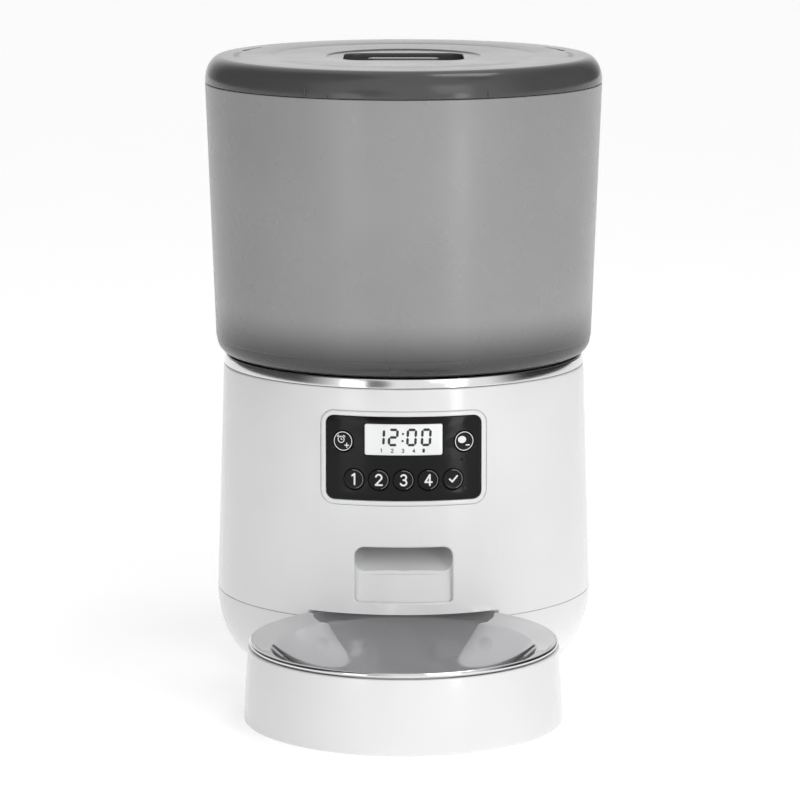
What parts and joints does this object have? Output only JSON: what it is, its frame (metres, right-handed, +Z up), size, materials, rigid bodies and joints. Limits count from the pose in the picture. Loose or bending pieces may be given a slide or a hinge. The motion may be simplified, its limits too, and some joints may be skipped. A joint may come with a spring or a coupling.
{
  "type": "automatic pet feeder",
  "caption": "Round automatic pet feeder with a smoked lift-off hopper and twist lid, portion wheel, control panel, front food outlet and a steel bowl in a separate stand.",
  "frame": {"origin": "on the floor, under the middle of the whole feeder's bounding box", "axes": "+Z up, -Y towards the bowl at the front, +X to the right seen from the front"},
  "size_m": [0.1996, 0.3176, 0.3075],
  "materials": {
    "white_plastic": "glossy moulded ABS, plain white",
    "smoked_plastic": "smoked translucent plastic, glossy lid and soft satin tank",
    "polished_steel": "mirror-polished stainless steel",
    "black_panel": "piano-black gloss",
    "black_button": "black gloss caps with light rings and numerals",
    "display": "pale reflective segment display under a clear window",
    "rubber": "matt black rubber",
    "silicone": "soft translucent silicone",
    "grey_plastic": "matt grey engineering plastic",
    "steel_parts": "bright plated steel",
    "circuit_board": "green solder-masked board",
    "cell_jacket": "plain cell jacket with no print",
    "black_fittings": "matt black plastic",
    "sachet_paper": "white non-woven paper"
  },
  "bodies": {
    "base": {"base_pan": "white_plastic", "base_shell": "white_plastic", "foot_1": "rubber", "foot_2": "rubber", "foot_3": "rubber", "foot_4": "rubber", "case_screw_1": "steel_parts", "case_screw_2": "steel_parts", "case_screw_3": "steel_parts", "case_screw_4": "steel_parts", "trim_ring": "polished_steel", "portion_chamber": "white_plastic", "portion_baffle": "white_plastic", "gearbox_case": "grey_plastic", "gearbox_cover": "grey_plastic", "gear_motor": "steel_parts", "food_chute": "white_plastic", "panel_bezel": "white_plastic", "control_panel": "black_panel", "display": "display", "key_board": "circuit_board", "microphone": "steel_parts", "battery_box": "white_plastic", "battery_contacts_front": "steel_parts", "battery_contacts_rear": "steel_parts", "cell_1": "cell_jacket", "cell_2": "cell_jacket", "cell_3": "cell_jacket", "power_jack": "black_fittings", "speaker": "black_fittings", "main_board": "circuit_board"},
    "hopper": {"hopper": "smoked_plastic"},
    "seal": {"lid_seal": "silicone"},
    "lid": {"lid": "smoked_plastic", "sachet_box": "white_plastic", "drying_sachet": "sachet_paper"},
    "sachet_cover": {"sachet_cover": "white_plastic"},
    "rotor": {"portion_wheel": "grey_plastic", "stirrer": "silicone", "rotor_shaft": "steel_parts", "output_gear": "grey_plastic"},
    "pinion": {"motor_pinion": "steel_parts"},
    "battery_door": {"battery_door": "white_plastic"},
    "stand": {"bowl_stand": "white_plastic", "steel_bowl": "polished_steel", "stand_pad_1": "rubber", "stand_pad_2": "rubber", "stand_pad_3": "rubber"},
    "button_1": {"button_1": "black_button"},
    "button_2": {"button_2": "black_button"},
    "button_3": {"button_3": "black_button"},
    "button_4": {"button_4": "black_button"},
    "button_ok": {"button_ok": "black_button"},
    "button_alarm": {"button_alarm": "black_button"},
    "button_record": {"button_record": "black_button"}
  },
  "joints": [
    {"name": "hopper_lift", "type": "slide", "parent": "base", "child": "hopper", "axis": [0, 0, 1], "range_m": [0, 0.08]},
    {"name": "lid_lift", "type": "slide", "parent": "hopper", "child": "seal", "axis": [0, 0, 1], "range_m": [0, 0.08]},
    {"name": "lid_turn", "type": "hinge", "parent": "seal", "child": "lid", "pos_m": [0, 0.05905, 0.2943], "axis": [0, 0, 1], "range_deg": [-27, 0]},
    {"name": "sachet_cover_swing", "type": "hinge", "parent": "lid", "child": "sachet_cover", "pos_m": [0, 0.07905, 0.2771], "axis": [1, 0, 0], "range_deg": [0, 85]},
    {"name": "rotor_spin", "type": "hinge", "parent": "base", "child": "rotor", "pos_m": [0, 0.05905, 0.13], "axis": [0, 0, 1], "continuous": true},
    {"name": "pinion_spin", "type": "hinge", "parent": "base", "child": "pinion", "pos_m": [0, 0.07905, 0.1075], "axis": [0, 0, 1], "continuous": true},
    {"name": "battery_door_swing", "type": "hinge", "parent": "base", "child": "battery_door", "pos_m": [0, 0.09735, 0.0016], "axis": [1, 0, 0], "range_deg": [0, 95]},
    {"name": "stand_slide", "type": "slide", "parent": "base", "child": "stand", "axis": [0, -1, 0], "range_m": [0, 0.06]},
    {"name": "button_1_press", "type": "slide", "parent": "base", "child": "button_1", "axis": [0.261, 0.9653, 0], "range_m": [0, 0.0008], "stiffness_N_per_m": 400},
    {"name": "button_2_press", "type": "slide", "parent": "base", "child": "button_2", "axis": [0.1305, 0.9915, 0], "range_m": [0, 0.0008], "stiffness_N_per_m": 400},
    {"name": "button_3_press", "type": "slide", "parent": "base", "child": "button_3", "axis": [0, 1, 0], "range_m": [0, 0.0008], "stiffness_N_per_m": 400},
    {"name": "button_4_press", "type": "slide", "parent": "base", "child": "button_4", "axis": [-0.1305, 0.9915, 0], "range_m": [0, 0.0008], "stiffness_N_per_m": 400},
    {"name": "button_ok_press", "type": "slide", "parent": "base", "child": "button_ok", "axis": [-0.261, 0.9653, 0], "range_m": [0, 0.0008], "stiffness_N_per_m": 400},
    {"name": "button_alarm_press", "type": "slide", "parent": "base", "child": "button_alarm", "axis": [0.3202, 0.9474, 0], "range_m": [0, 0.0008], "stiffness_N_per_m": 400},
    {"name": "button_record_press", "type": "slide", "parent": "base", "child": "button_record", "axis": [-0.3202, 0.9474, 0], "range_m": [0, 0.0008], "stiffness_N_per_m": 400}
  ],
  "couplings": [
    {"joint": "pinion_spin", "follows": "rotor_spin", "ratio": -3}
  ]
}
